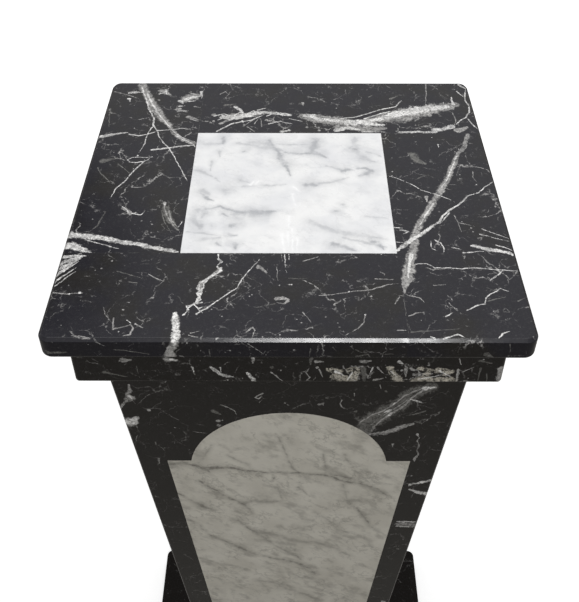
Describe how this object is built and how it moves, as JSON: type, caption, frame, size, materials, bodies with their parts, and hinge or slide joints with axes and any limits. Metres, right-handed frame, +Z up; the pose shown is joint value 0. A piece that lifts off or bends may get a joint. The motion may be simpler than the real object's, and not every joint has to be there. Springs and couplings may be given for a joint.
{
  "type": "pedestal column stand",
  "caption": "Square marble pedestal whose shaft narrows downwards, black with white inlays, an arched panel on each face and a wide square base.",
  "frame": {"origin": "centre of the underside of the base", "axes": "+Z up along the column; the face shown in the picture looks towards -Y; all four faces are alike"},
  "size_m": [0.396, 0.396, 0.914],
  "materials": {
    "black_marble": "polished black marble with white veins",
    "white_marble_top": "polished white marble with faint grey veins",
    "white_marble_panel": "polished white marble, a little warmer, with grey veins",
    "backing_stone": "sawn limestone offcuts"
  },
  "bodies": {
    "root": {"base_plate": "black_marble", "corner_block_back_left": "backing_stone", "corner_block_front_right": "backing_stone", "corner_block_left_front": "backing_stone", "corner_block_right_back": "backing_stone", "foot_collar": "black_marble", "foot_plug": "backing_stone", "head_plug": "backing_stone", "neck_backing_plate": "black_marble", "neck_collar_back_strip": "black_marble", "neck_collar_front_strip": "black_marble", "neck_collar_left_strip": "black_marble", "neck_collar_right_strip": "black_marble", "plinth_plate": "black_marble", "shaft_back_foot_rail": "black_marble", "shaft_back_head": "black_marble", "shaft_back_left_stile": "black_marble", "shaft_back_panel": "white_marble_panel", "shaft_back_right_stile": "black_marble", "shaft_front_foot_rail": "black_marble", "shaft_front_head": "black_marble", "shaft_front_left_stile": "black_marble", "shaft_front_panel": "white_marble_panel", "shaft_front_right_stile": "black_marble", "shaft_left_foot_rail": "black_marble", "shaft_left_head": "black_marble", "shaft_left_left_stile": "black_marble", "shaft_left_panel": "white_marble_panel", "shaft_left_right_stile": "black_marble", "shaft_right_foot_rail": "black_marble", "shaft_right_head": "black_marble", "shaft_right_left_stile": "black_marble", "shaft_right_panel": "white_marble_panel", "shaft_right_right_stile": "black_marble", "top_back_strip": "black_marble", "top_front_strip": "black_marble", "top_inlay": "white_marble_top", "top_left_strip": "black_marble", "top_right_strip": "black_marble"}
  },
  "joints": []
}
